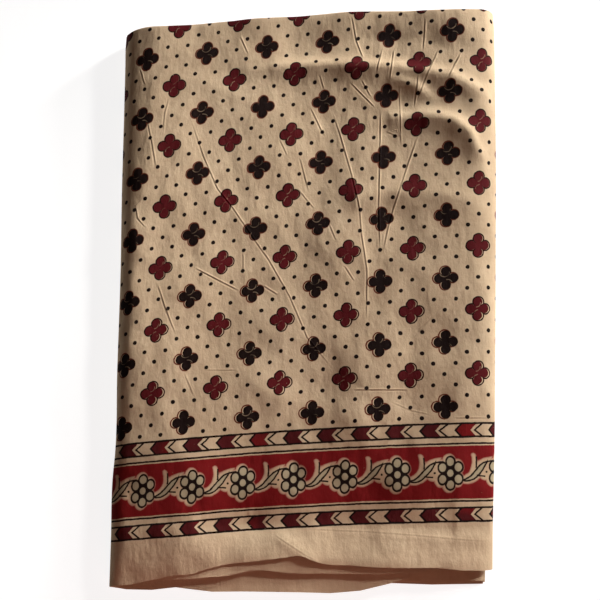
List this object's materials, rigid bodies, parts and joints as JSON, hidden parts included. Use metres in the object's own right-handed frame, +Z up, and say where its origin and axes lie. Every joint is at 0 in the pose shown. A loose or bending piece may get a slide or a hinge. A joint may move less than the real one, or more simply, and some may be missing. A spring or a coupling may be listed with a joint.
{
  "type": "folded kalamkari cotton fabric",
  "caption": "Length of block-printed kalamkari cotton, doubled and folded into a flat packet, cream ground with dark and red flowers and a red vine border.",
  "frame": {"origin": "under the middle of the packet's bounding box, on the surface it rests on", "axes": "+X across the packet to its right folded side, +Y from the hems to the doubled edge, +Z up out of the printed top face"},
  "size_m": [0.382, 0.5804, 0.0263],
  "materials": {
    "printed_cotton": "matt plain weave, printed on both faces of the packet"
  },
  "bodies": {
    "root": {"cloth": "printed_cotton"}
  },
  "joints": []
}
